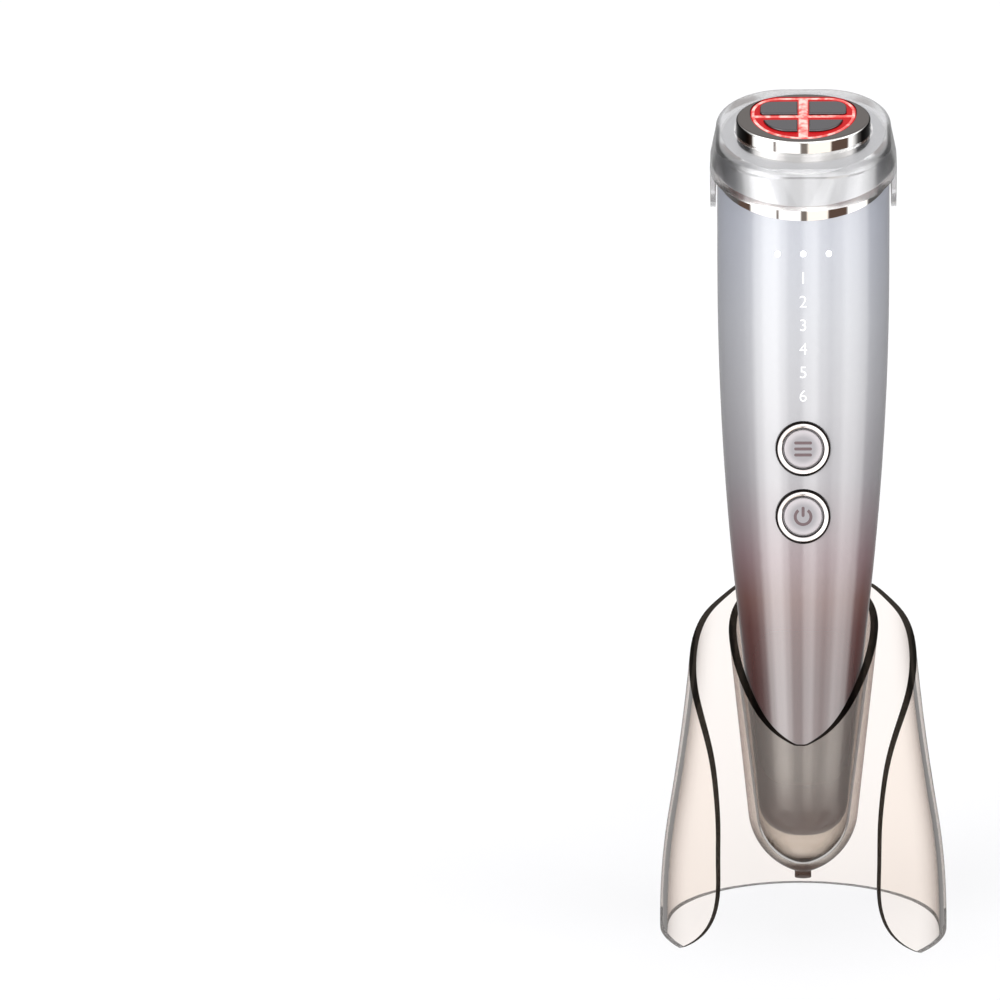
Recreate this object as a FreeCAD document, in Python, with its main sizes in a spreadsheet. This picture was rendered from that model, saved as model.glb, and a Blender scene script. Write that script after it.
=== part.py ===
import FreeCAD, Part
import math
import os
from types import SimpleNamespace

import Sketcher

# A face massager handset with a radio-frequency head, standing in its clear stand.
# The stand is a cut-away cone with a leaning cup; the handset lifts out of the cup, its two
# buttons press in and the clear pad ring pulls off the head.  Front is -Y, up is +Z.

# Driving dimensions, in millimetres and degrees
SIZES = {
    # stand skirt
    "stand_forward": 6.17,
    "stand_turn": 2.3,
    "skirt_foot_radius": 36.6,
    "skirt_top_margin": 5.7,
    "skirt_height": 85,
    "skirt_wall": 1.8,
    # stand cup
    "cup_forward": 0.9,
    "cup_lift": 24.9,
    "cup_gap": 0.35,
    "cup_mouth_gap": 1.1,
    "cup_outset": 2.95,
    "cup_back_height": 62.5,
    "cup_nose_height": 5,
    "cup_nose_depth": 10.2,
    "cup_seat_height": 4,
    "cup_floor_depth": 7.2,
    "cup_nub_radius": 2.1,
    "cup_nub_depth": 1.2,
    "cup_land_width": 20,
    "cup_land_height": 16,
    "bond_gap": 0.05,
    # handset barrel
    "lean_angle": 7,
    "barrel_end_round": 8.5,
    "barrel_radius": 21.6,
    "barrel_wall": 3.2,
    "barrel_floor": 3.5,
    "head_height": 167.9,
    "head_tilt": 28,
    # head
    "neck_ring_height": 3.4,
    "neck_ring_width": 5.5,
    "shell_inset": 0.9,
    "shell_height": 7.1,
    "shell_wall": 2,
    "spigot_depth": 3,
    "face_rise": 3.1,
    "face_round": 0.6,
    "guide_recess": 0.2,
    "led_board_gap": 0.45,
    "light_hole_margin": 2.5,
    "board_thickness": 1.2,
    # electrodes
    "electrode_seat": 2,
    "electrode_rise": 0.6,
    "electrode_round": 0.4,
    # clear pad ring
    "pad_ring_gap": 0.3,
    "pad_ring_wall": 1.5,
    "pad_ring_foot_reach": 1.7,
    "pad_ring_crown_side": 0.3,
    "pad_ring_crown_front": 0.4,
    "pad_ring_flange": 1.7,
    "pad_ring_round": 2,
    "pad_ring_face_gap": 0.5,
    "tab_width": 8,
    "tab_drop": 12.8,
    "tab_wall": 1.1,
    "tab_round": 3.6,
    # buttons
    "button_bezel_radius": 6.8,
    "button_bezel_rise": 0.5,
    "button_bezel_lip": 1.5,
    "button_bezel_round": 0.7,
    "button_recess": 2.4,
    "button_cap_radius": 4.8,
    "button_cap_rise": 0.3,
    "button_cap_round": 0.5,
    "button_flange_width": 0.9,
    "button_flange_thickness": 0.5,
    "button_play": 0.2,
    "button_travel": 0.4,
    "button_stem_radius": 1.6,
    "switch_size": 6.2,
    "switch_height": 4,
    "switch_well": 2,
    "stem_reach": 1.2,
    # level lights
    "light_pitch": 6.3,
    "light_radius": 0.75,
    "light_length": 5,
    # inside the barrel
    "board_margin": 1.1,
    "frame_thickness": 2,
    "battery_radius": 7.1,
    "cradle_thickness": 3,
    "cradle_depth": 5,
    "socket_half_width": 4.5,
    "socket_half_depth": 1.6,
    "socket_height": 7.3,
    "socket_wall": 0.35,
    "socket_recess": 0.6,
    "tongue_half_width": 3.3,
    "tongue_half_depth": 0.35,
    "socket_board_height": 22,
    # fits
    "fit_gap": 0.15,
    "overrun": 2,
}

# Side outline of the skirt: radius as a share of the way from the top to the foot, height as a share
SKIRT_FOOT_SHARE = 0.0235
SKIRT_BELLY_SHARES = (0.733, 0.365)
SKIRT_SHOULDER_SHARES = (0.161, 0.8235)
SKIRT_CONE_SHARE = 0.912

# Open front of the skirt: height as a share of the skirt's height, half angle of the opening in degrees
SKIRT_EDGE_SHARES = (
    (-0.03, 64), (0, 56), (0.03, 48.7), (0.065, 42.7), (0.118, 37.5), (0.188, 35), (0.282, 35.7),
    (0.4, 37.9), (0.494, 41.2), (0.588, 46.5), (0.659, 53.6), (0.718, 62.5), (0.765, 71.5),
    (0.812, 81), (0.859, 91), (0.906, 103), (0.941, 115.5), (0.968, 128), (1.01, 150),
)

# Slanted rim of the cup: height as a share of the back height, half angle of the opening in degrees
CUP_RIM_SHARES = (
    (0.398, 4), (0.406, 9), (0.419, 14.5), (0.44, 22.2), (0.472, 31.3), (0.515, 40.8), (0.576, 51.5),
    (0.646, 62.5), (0.72, 74), (0.8, 87), (0.864, 100), (0.917, 113.5), (0.957, 127), (1.01, 148),
)

# Radii and depths of the handset as shares of the barrel radius
END_RADIUS_SHARE = 0.4815
GRIP_RADIUS_SHARE = 0.7963
BOARD_FRONT_SHARE = 0.509
FACE_WIDTH_SHARE = 0.773
FACE_DEPTH_SHARE = 0.579
WINDOW_WIDTH_SHARE = 0.616
WINDOW_BACK_SHARE = 0.495
WINDOW_CORNER_SHARE = 0.347
WINDOW_BOW_SHARE = 0.102
CROSS_BAR_SHARE = 0.13
PAD_CROWN_CORNER_SHARE = 0.787
PAD_FOOT_CORNER_SHARE = 1.04
REAR_ELECTRODE_REACH_SHARE = 0.5
REAR_ELECTRODE_FRONT_SHARE = 0.07
REAR_ELECTRODE_BACK_SHARE = 0.366
REAR_ELECTRODE_CORNER_SHARE = 0.139
REAR_ELECTRODE_SMALL_CORNER_SHARE = 0.056
FRONT_ELECTRODE_REACH_SHARE = 0.458
FRONT_ELECTRODE_BACK_SHARE = 0.074
FRONT_ELECTRODE_FRONT_SHARE = 0.333
FRONT_ELECTRODE_FLAT_SHARE = 0.083

# Heights in the handset as shares of the height where its axis meets the head
TAPER_SHARE = 0.3752
MODE_BUTTON_SHARE = 0.5956
POWER_BUTTON_SHARE = 0.4943
LIGHT_SHARE = 0.8833
BOARD_BOTTOM_SHARE = 0.298
BOARD_TOP_SHARE = 0.893
FRAME_BOTTOM_SHARE = 0.25
FRAME_TOP_SHARE = 0.905
BATTERY_BOTTOM_SHARE = 0.441
BATTERY_LENGTH_SHARE = 0.298

RIGHT_ANGLE = 90
LEVEL_SLACK = 1e-4
X_AXIS = FreeCAD.Vector(1, 0, 0)


class Dim:
    """A size with its value and the sheet expression that gives it."""

    def __init__(self, value, text):
        self.value = value
        self.text = text

    def __add__(self, other):
        other = as_dim(other)
        return Dim(self.value + other.value, f"({self.text} + {other.text})")

    def __sub__(self, other):
        other = as_dim(other)
        return Dim(self.value - other.value, f"({self.text} - {other.text})")

    def __mul__(self, other):
        other = as_dim(other)
        return Dim(self.value * other.value, f"({self.text} * {other.text})")

    def __truediv__(self, other):
        other = as_dim(other)
        return Dim(self.value / other.value, f"({self.text} / {other.text})")

    def __neg__(self):
        return Dim(-self.value, f"(-{self.text})")

    def __radd__(self, other):
        return as_dim(other) + self

    def __rsub__(self, other):
        return as_dim(other) - self

    def __rmul__(self, other):
        return as_dim(other) * self


def as_dim(number):
    """Take a plain number, such as a share or a count, into a sum of sizes."""
    return number if isinstance(number, Dim) else Dim(number, f"({number})" if number else "0")


def root(number):
    return Dim(math.sqrt(number.value), f"sqrt({number.text})")


def sine(angle):
    return Dim(math.sin(math.radians(angle.value)), f"sin({angle.text} * 1 deg)")


def cosine(angle):
    return Dim(math.cos(math.radians(angle.value)), f"cos({angle.text} * 1 deg)")


def arcsine(number):
    return Dim(math.degrees(math.asin(number.value)), f"(asin({number.text}) / 1 deg)")


# Document and sheet
doc = FreeCAD.newDocument("FaceMassager")
sheet = doc.addObject("Spreadsheet::Sheet", "Sizes")
for row, (name, number) in enumerate(SIZES.items(), start=1):
    sheet.set(f"A{row}", name)
    sheet.set(f"B{row}", str(number))
    sheet.setAlias(f"B{row}", name)
doc.recompute()
size = SimpleNamespace(**{name: Dim(number, f"Sizes.{name}") for name, number in SIZES.items()})
nodes = []


def bind(item, path, dim):
    """Tie one property to the sheet."""
    item.setExpression(path, as_dim(dim).text)


class Frame:
    """A local frame in the plane of symmetry: its origin (y, z) and its turn about X."""

    def __init__(self, y, z, turn):
        self.y = as_dim(y)
        self.z = as_dim(z)
        self.turn = as_dim(turn)

    def inner(self, y, z, turn):
        """A frame whose origin is given in this one, turned further about X."""
        across, along = cosine(self.turn), sine(self.turn)
        return Frame(self.y + y * across - z * along, self.z + y * along + z * across, self.turn + turn)


def place(item, frame):
    item.Placement = FreeCAD.Placement(FreeCAD.Vector(), FreeCAD.Rotation(X_AXIS, frame.turn.value))
    bind(item, "Placement.Base.y", frame.y)
    bind(item, "Placement.Base.z", frame.z)
    if frame.turn.value:
        bind(item, "Placement.Rotation.Angle", frame.turn * Dim(1, "1 deg"))


def new_body(label, frame):
    body = doc.addObject("PartDesign::Body", label)
    body.Label = label
    place(body, frame)
    return body


def new_node(label, frame):
    """A body that is one physical piece, written out under its label."""
    body = new_body(label, frame)
    nodes.append(body)
    return body


def sketch_on(body, role, lift=0, rise=0, tilt=0):
    """A sketch on an origin plane, lifted along its normal and, where asked, raised and tilted."""
    sketch = body.newObject("Sketcher::SketchObject", f"{body.Label}_sketch")
    plane = next(item for item in body.Origin.OriginFeatures if item.Role == role)
    sketch.AttachmentSupport = [(plane, "")]
    sketch.MapMode = "FlatFace"
    bind(sketch, "AttachmentOffset.Base.z", lift)
    if rise:
        bind(sketch, "AttachmentOffset.Base.y", rise)
    if tilt:
        sketch.AttachmentOffset = FreeCAD.Placement(FreeCAD.Vector(), FreeCAD.Rotation(X_AXIS, tilt.value))
        bind(sketch, "AttachmentOffset.Rotation.Angle", tilt * Dim(1, "1 deg"))
    return sketch


def pin(sketch, edge, end, x, y):
    """Hold one point of a sketch at (x, y) from the sketch's origin."""
    for kind, distance, axis in (("DistanceX", as_dim(x), -2), ("DistanceY", as_dim(y), -1)):
        if distance.text == "0":
            sketch.addConstraint(Sketcher.Constraint("PointOnObject", edge, end, axis))
        else:
            index = sketch.addConstraint(Sketcher.Constraint(kind, -1, 1, edge, end, distance.value))
            bind(sketch, f"Constraints[{index}]", distance)


def measure(sketch, kind, edge, length):
    index = sketch.addConstraint(Sketcher.Constraint(kind, edge, length.value))
    bind(sketch, f"Constraints[{index}]", length)


def line(x, y):
    return "line", as_dim(x), as_dim(y)


def arc(x, y):
    """An arc to (x, y) that leaves the step before it tangentially."""
    return "arc", as_dim(x), as_dim(y)


def turned(direction, angle):
    return FreeCAD.Rotation(FreeCAD.Vector(0, 0, 1), math.degrees(angle)).multVec(direction)


def outline(sketch, start, *steps):
    """Draw and fully constrain a closed outline; a straight line closes it."""
    home = line(*start)
    point = FreeCAD.Vector(home[1].value, home[2].value, 0)
    first = last = None
    for step in steps + (home,):
        kind, x, y = step
        target = FreeCAD.Vector(x.value, y.value, 0)
        chord = target - point
        if kind == "line":
            edge = sketch.addGeometry(Part.LineSegment(point, target))
            heading = chord.normalize()
            ends = (1, 2)
        else:
            swing = math.atan2(heading.cross(chord).z, heading.dot(chord))
            middle = point + turned(heading, swing / 2) * (chord.Length / (2 * math.cos(swing / 2)))
            edge = sketch.addGeometry(Part.Arc(point, middle, target))
            heading = turned(heading, 2 * swing)
            ends = (1, 2) if sketch.getPoint(edge, 1).isEqual(point, LEVEL_SLACK) else (2, 1)
        if last is None:
            pin(sketch, edge, ends[0], *start)
            first = (edge, ends[0])
        else:
            joint = "Coincident" if kind == "line" else "Tangent"
            sketch.addConstraint(Sketcher.Constraint(joint, *last, edge, ends[0]))
        last = (edge, ends[1])
        if step is home:
            sketch.addConstraint(Sketcher.Constraint("Coincident", *last, *first))
        else:
            pin(sketch, *last, x, y)
        point = target
    return sketch


def circle(sketch, radius, x=0, y=0):
    centre = FreeCAD.Vector(as_dim(x).value, as_dim(y).value, 0)
    edge = sketch.addGeometry(Part.Circle(centre, FreeCAD.Vector(0, 0, 1), radius.value))
    pin(sketch, edge, 3, x, y)
    measure(sketch, "Radius", edge, radius)
    return sketch


def ellipse(sketch, half_width, half_depth):
    """An ellipse about the sketch's origin, its long axis along the larger half."""
    wide = half_width.value >= half_depth.value
    side, front = FreeCAD.Vector(half_width.value, 0, 0), FreeCAD.Vector(0, half_depth.value, 0)
    long_end, short_end = (side, front) if wide else (front, -side)
    edge = sketch.addGeometry(Part.Ellipse(long_end, short_end, FreeCAD.Vector()))
    sketch.exposeInternalGeometry(edge)
    long_axis, short_axis = edge + 1, edge + 2
    sketch.addConstraint(Sketcher.Constraint("Coincident", edge, 3, -1, 1))
    sketch.addConstraint(Sketcher.Constraint("Horizontal" if wide else "Vertical", long_axis))
    measure(sketch, "Distance", long_axis if wide else short_axis, 2 * half_width)
    measure(sketch, "Distance", short_axis if wide else long_axis, 2 * half_depth)
    return sketch


def rounded_box(sketch, half_width, half_height, corner):
    """A rectangle with round corners about the sketch's origin."""
    wide, high = half_width - corner, half_height - corner
    return outline(
        sketch, (0, -half_height),
        line(wide, -half_height), arc(half_width, -high), line(half_width, high), arc(wide, half_height),
        line(-wide, half_height), arc(-half_width, high), line(-half_width, -high), arc(-wide, -half_height),
    )


def feature(body, kind, sketch, **settings):
    """Add a sketch-based feature to a body."""
    item = body.newObject(f"PartDesign::{kind}", f"{body.Label}_{kind.lower()}")
    item.Profile = sketch
    for name, setting in settings.items():
        setattr(item, name, setting)
    return item


def pad(body, sketch, length, **settings):
    item = feature(body, "Pad", sketch, **settings)
    bind(item, "Length", length)
    return item


def pocket(body, sketch, depth, **settings):
    item = feature(body, "Pocket", sketch, **settings)
    bind(item, "Length", depth)
    return item


def cut_through(body, sketch):
    """Cut right through the body, both ways from the sketch."""
    return feature(body, "Pocket", sketch, Type="ThroughAll", SideType="Symmetric")


def revolve(body, sketch, kind="Revolution"):
    return feature(body, kind, sketch, ReferenceAxis=(sketch, ["V_Axis"]))


def round_edges(body, height, radius):
    """Round the edges that lie flat at one height of the body's own frame."""
    doc.recompute()
    base = body.Tip
    level = []
    for number, edge in enumerate(base.Shape.Edges, start=1):
        box = edge.BoundBox
        if max(abs(box.ZMin - height.value), abs(box.ZMax - height.value)) < LEVEL_SLACK:
            level.append(f"Edge{number}")
    item = body.newObject("PartDesign::Fillet", f"{body.Label}_round")
    item.Base = (base, level)
    bind(item, "Radius", radius)
    return item


# Shape of the barrel: a straight taper, then a long bow that ends upright
end_radius = END_RADIUS_SHARE * size.barrel_radius
grip_radius = GRIP_RADIUS_SHARE * size.barrel_radius
taper_height = TAPER_SHARE * size.head_height
taper = (grip_radius - end_radius) / taper_height
steepness = root(1 + taper * taper)
bow_run = (size.barrel_radius - grip_radius) / taper
bow_top = taper_height + bow_run + bow_run * steepness
bow_radius = (bow_top - taper_height) * steepness / taper
barrel_top = size.head_height + size.barrel_radius
skirt_top_radius = size.barrel_radius + size.skirt_top_margin
skirt_flare = size.skirt_foot_radius - skirt_top_radius


def taper_radius_at(height):
    """Outside radius of the barrel within its straight taper."""
    return end_radius + taper * height


def bow_radius_at(height):
    """Outside radius of the barrel within its bow."""
    drop = bow_top - height
    return size.barrel_radius - bow_radius + root(bow_radius * bow_radius - drop * drop)


def bow_slope_at(height):
    """Angle between the bowed surface and the axis, in degrees."""
    return arcsine((bow_top - height) / bow_radius)


def barrel_profile(sketch, inset, bottom, top):
    """Half outline of the barrel or, set in by the wall, of its bore."""
    outline(
        sketch, (0, bottom),
        line(taper_radius_at(bottom) - inset, bottom),
        line(grip_radius - inset, taper_height),
        arc(size.barrel_radius - inset, bow_top),
        line(size.barrel_radius - inset, top),
        line(0, top),
    )
    return sketch


# Local frames: the stand, the leaning handset, its tilted head and its two buttons
stand_frame = Frame(-size.stand_forward, 0, 0)
handset_frame = stand_frame.inner(-size.cup_forward, size.cup_lift, -size.lean_angle)
head_frame = handset_frame.inner(as_dim(0), size.head_height, size.head_tilt)


def button_frame(height):
    """Origin on the barrel's front surface, +Z straight out of it."""
    return handset_frame.inner(-bow_radius_at(height), height, RIGHT_ANGLE + bow_slope_at(height))


# Levels of the head, along its own axis from the barrel's slanted top
shell_top = size.neck_ring_height + size.shell_height
flange_top = shell_top + size.pad_ring_gap + size.pad_ring_flange
face_top = flange_top + size.face_rise
guide_top = face_top - size.guide_recess
head_half_width = size.barrel_radius
head_half_depth = size.barrel_radius / cosine(size.head_tilt)
crown_half_width = head_half_width + size.pad_ring_crown_side
crown_half_depth = head_half_width + size.pad_ring_crown_front
face_half_width = FACE_WIDTH_SHARE * size.barrel_radius
face_half_depth = FACE_DEPTH_SHARE * size.barrel_radius
spigot_inset = size.neck_ring_width + size.fit_gap
hollow_inset = spigot_inset + size.shell_wall
led_board_half_width = head_half_width - hollow_inset - size.led_board_gap

# Levels and depths of the pieces in the barrel
button_heights = {
    "mode": MODE_BUTTON_SHARE * size.head_height,
    "power": POWER_BUTTON_SHARE * size.head_height,
}
light_height = LIGHT_SHARE * size.head_height
light_places = {"left": -size.light_pitch, "middle": as_dim(0), "right": size.light_pitch}
board_front = BOARD_FRONT_SHARE * size.barrel_radius
board_back = board_front - size.board_thickness
frame_bottom = FRAME_BOTTOM_SHARE * size.head_height
frame_top = FRAME_TOP_SHARE * size.head_height
battery_bottom = BATTERY_BOTTOM_SHARE * size.head_height
battery_length = BATTERY_LENGTH_SHARE * size.head_height


def open_front(body, stations, height, far):
    """Cut a round shell open at its front; the cut runs straight out from the axis at every station."""
    sections = []
    for share, half_angle in stations:
        left, right = half_angle + size.stand_turn, half_angle - size.stand_turn
        sections.append(outline(
            sketch_on(body, "XY_Plane", share * height), (0, 0),
            line(-far * sine(left), -far * cosine(left)),
            line(-2 * far, -2 * far),
            line(2 * far, -2 * far),
            line(far * sine(right), -far * cosine(right)),
        ))
    return feature(body, "SubtractiveLoft", sections[0], Sections=sections[1:])


def stand_skirt():
    """Bell-shaped skirt, open at the front along one smooth curved edge that ends in two toes."""
    body = new_node("stand_skirt", stand_frame)

    def side_point(shares, inset):
        return skirt_top_radius + shares[0] * skirt_flare - inset, shares[1] * size.skirt_height

    foot, wall = SKIRT_FOOT_SHARE * size.skirt_height, size.skirt_wall
    section = outline(
        sketch_on(body, "XZ_Plane"), (size.skirt_foot_radius - wall, 0),
        line(size.skirt_foot_radius, 0),
        line(size.skirt_foot_radius, foot),
        arc(*side_point(SKIRT_BELLY_SHARES, 0)),
        arc(*side_point(SKIRT_SHOULDER_SHARES, 0)),
        line(skirt_top_radius, size.skirt_height),
        line(skirt_top_radius - wall, size.skirt_height),
        line(*side_point(SKIRT_SHOULDER_SHARES, wall)),
        arc(*side_point(SKIRT_BELLY_SHARES, wall)),
        arc(size.skirt_foot_radius - wall, foot),
    )
    revolve(body, section)
    open_front(body, SKIRT_EDGE_SHARES, size.skirt_height, 2 * size.skirt_foot_radius)


def stand_cup():
    """Leaning cup with a pointed nose and a slanted rim, joined to the skirt by a land at its back."""
    body = new_body("cup_form", handset_frame)
    top = size.cup_back_height
    outside = outline(
        sketch_on(body, "XZ_Plane"), (0, top),
        line(taper_radius_at(top) + size.cup_outset, top),
        line(taper_radius_at(size.cup_nose_height) + size.cup_outset, size.cup_nose_height),
        arc(0, -size.cup_nose_depth),
    )
    revolve(body, outside)
    nub = circle(sketch_on(body, "XY_Plane", -size.cup_nose_depth - size.cup_nub_depth), size.cup_nub_radius)
    pad(body, nub, size.cup_nub_depth + size.cup_nub_radius)
    land_bottom = top - size.cup_land_height
    land = outline(
        sketch_on(body, "YZ_Plane"), (0, land_bottom),
        line(2 * taper_radius_at(land_bottom), land_bottom),
        line(2 * taper_radius_at(land_bottom), top),
        line(0, top),
    )
    pad(body, land, size.cup_land_width, SideType="Symmetric")
    hollow_top = top + size.overrun
    hollow = outline(
        sketch_on(body, "XZ_Plane"), (0, hollow_top),
        line(taper_radius_at(hollow_top) + size.cup_mouth_gap, hollow_top),
        line(taper_radius_at(size.cup_seat_height) + size.cup_gap, size.cup_seat_height),
        arc(size.cup_nub_radius, -size.cup_floor_depth),
        line(0, -size.cup_floor_depth),
    )
    revolve(body, hollow, "Groove")
    open_front(body, CUP_RIM_SHARES, top, size.skirt_foot_radius)
    bore = doc.addObject("Part::Cone", "skirt_bore")
    skirt_gap = size.skirt_wall + size.bond_gap
    bind(bore, "Radius1", skirt_top_radius + SKIRT_CONE_SHARE * skirt_flare - skirt_gap)
    bind(bore, "Radius2", skirt_top_radius - skirt_gap)
    bind(bore, "Height", size.skirt_height)
    place(bore, stand_frame)
    cup = doc.addObject("Part::Common", "stand_cup")
    cup.Base = body
    cup.Tool = bore
    nodes.append(cup)


def barrel():
    """Seamless tapered housing, cut slantwise for the head, with its button, light and socket holes."""
    body = new_node("barrel", handset_frame)
    revolve(body, barrel_profile(sketch_on(body, "XZ_Plane"), 0, as_dim(0), barrel_top))
    round_edges(body, as_dim(0), size.barrel_end_round)
    bore = sketch_on(body, "XZ_Plane")
    barrel_profile(bore, size.barrel_wall, size.barrel_floor, barrel_top + size.overrun)
    revolve(body, bore, "Groove")
    reach = 2 * size.barrel_radius
    climb = reach * sine(size.head_tilt) / cosine(size.head_tilt)
    slant = outline(
        sketch_on(body, "YZ_Plane"), (-reach, size.head_height - climb),
        line(reach, size.head_height + climb),
        line(reach, barrel_top + reach),
        line(-reach, barrel_top + reach),
    )
    cut_through(body, slant)
    for height in button_heights.values():
        lift = bow_radius_at(height)
        slope = bow_slope_at(height)
        seat = sketch_on(body, "XZ_Plane", lift, height, slope)
        circle(seat, size.button_bezel_radius + size.fit_gap)
        pocket(body, seat, size.button_recess)
        hole = sketch_on(body, "XZ_Plane", lift, height, slope)
        circle(hole, size.button_cap_radius + size.pad_ring_gap)
        pocket(body, hole, 2 * size.barrel_wall)
    lights = sketch_on(body, "XZ_Plane", size.barrel_radius + size.overrun)
    for across in light_places.values():
        circle(lights, size.light_radius + size.bond_gap, across, light_height)
    pocket(body, lights, size.overrun + 2 * size.barrel_wall)
    port = sketch_on(body, "XY_Plane", -size.overrun)
    rounded_box(port, size.socket_half_width + size.fit_gap, size.socket_half_depth + size.fit_gap,
                size.socket_half_depth)
    pocket(body, port, size.barrel_floor + 2 * size.overrun, Reversed=True)


def neck_ring():
    """Bright trim ring between the barrel's slanted top and the head."""
    body = new_node("neck_ring", head_frame)
    ring = ellipse(sketch_on(body, "XY_Plane"), head_half_width, head_half_depth)
    ellipse(ring, head_half_width - size.neck_ring_width, head_half_depth - size.neck_ring_width)
    pad(body, ring, size.neck_ring_height)


def head_shell():
    """Silver cap of the head; its spigot drops through the neck ring into the barrel."""
    body = new_node("head_shell", head_frame)
    foot = ellipse(sketch_on(body, "XY_Plane", size.neck_ring_height),
                   head_half_width - size.shell_inset, head_half_depth - size.shell_inset)
    crown_inset = size.pad_ring_wall + size.pad_ring_gap
    crown = ellipse(sketch_on(body, "XY_Plane", shell_top),
                    crown_half_width - crown_inset, crown_half_depth - crown_inset)
    feature(body, "AdditiveLoft", foot, Sections=[crown])
    spigot = ellipse(sketch_on(body, "XY_Plane", -size.spigot_depth),
                     head_half_width - spigot_inset, head_half_depth - spigot_inset)
    pad(body, spigot, size.spigot_depth + size.neck_ring_height)
    hollow = ellipse(sketch_on(body, "XY_Plane", -size.spigot_depth),
                     head_half_width - hollow_inset, head_half_depth - hollow_inset)
    pocket(body, hollow, size.spigot_depth + shell_top - size.shell_wall, Reversed=True)
    light_hole = circle(sketch_on(body, "XY_Plane"), led_board_half_width - size.light_hole_margin)
    cut_through(body, light_hole)


def window_outline(sketch, inset):
    """Shield-shaped window: round front, straight back with two large corners."""
    side = WINDOW_WIDTH_SHARE * size.barrel_radius - inset
    back = WINDOW_BACK_SHARE * size.barrel_radius - inset
    corner = WINDOW_CORNER_SHARE * size.barrel_radius - inset
    bow = WINDOW_BOW_SHARE * size.barrel_radius
    return outline(
        sketch, (0, back),
        line(corner - side, back), arc(-side, back - corner),
        line(-side, bow), arc(side, bow),
        line(side, back - corner), arc(side - corner, back),
    )


def face_bezel():
    """Mirror-dark oval rim that stands on the shell and frames the lit window."""
    body = new_node("face_bezel", head_frame)
    oval = ellipse(sketch_on(body, "XY_Plane", shell_top), face_half_width, face_half_depth)
    pad(body, oval, face_top - shell_top)
    round_edges(body, face_top, size.face_round)
    cut_through(body, window_outline(sketch_on(body, "XY_Plane", shell_top), as_dim(0)))


def electrode_outline(sketch, row, side, grow):
    """One of the four electrodes, or its pocket when it grows by the fit."""
    radius = size.barrel_radius
    inner = CROSS_BAR_SHARE * radius / 2 - grow
    if row == "rear":
        reach = REAR_ELECTRODE_REACH_SHARE * radius + grow
        front = REAR_ELECTRODE_FRONT_SHARE * radius - grow
        back = REAR_ELECTRODE_BACK_SHARE * radius + grow
        corner = REAR_ELECTRODE_CORNER_SHARE * radius
        small = REAR_ELECTRODE_SMALL_CORNER_SHARE * radius
        return outline(
            sketch, (side * inner, front),
            line(side * (reach - small), front), arc(side * reach, front + small),
            line(side * reach, back - corner), arc(side * (reach - corner), back),
            line(side * inner, back),
        )
    reach = FRONT_ELECTRODE_REACH_SHARE * radius + grow
    back = grow - FRONT_ELECTRODE_BACK_SHARE * radius
    front = -FRONT_ELECTRODE_FRONT_SHARE * radius - grow
    return outline(
        sketch, (side * inner, back),
        line(side * inner, front), line(side * (inner + FRONT_ELECTRODE_FLAT_SHARE * radius), front),
        arc(side * reach, back),
    )


ELECTRODES = {
    "electrode_rear_left": ("rear", -1),
    "electrode_rear_right": ("rear", 1),
    "electrode_front_left": ("front", -1),
    "electrode_front_right": ("front", 1),
}


def light_guide():
    """Red light guide that fills the window, with a pocket for each electrode."""
    body = new_node("light_guide", head_frame)
    plate = window_outline(sketch_on(body, "XY_Plane", shell_top), size.fit_gap)
    pad(body, plate, guide_top - shell_top)
    for row, side in ELECTRODES.values():
        seat = electrode_outline(sketch_on(body, "XY_Plane", guide_top), row, side, size.bond_gap)
        pocket(body, seat, size.electrode_seat)


def electrodes():
    """Four steel electrodes, seated in the guide and a little proud of it."""
    for label, (row, side) in ELECTRODES.items():
        body = new_node(label, head_frame)
        seat = sketch_on(body, "XY_Plane", guide_top - size.electrode_seat)
        plate = electrode_outline(seat, row, side, as_dim(0))
        pad(body, plate, size.electrode_seat + size.electrode_rise)
        round_edges(body, guide_top + size.electrode_rise, size.electrode_round)


def led_board():
    """Round board under the shell's roof that lights the guide through the roof's hole."""
    body = new_node("led_board", head_frame)
    roof = shell_top - size.shell_wall
    disc = circle(sketch_on(body, "XY_Plane", roof - size.board_thickness), led_board_half_width)
    pad(body, disc, size.board_thickness)


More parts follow.
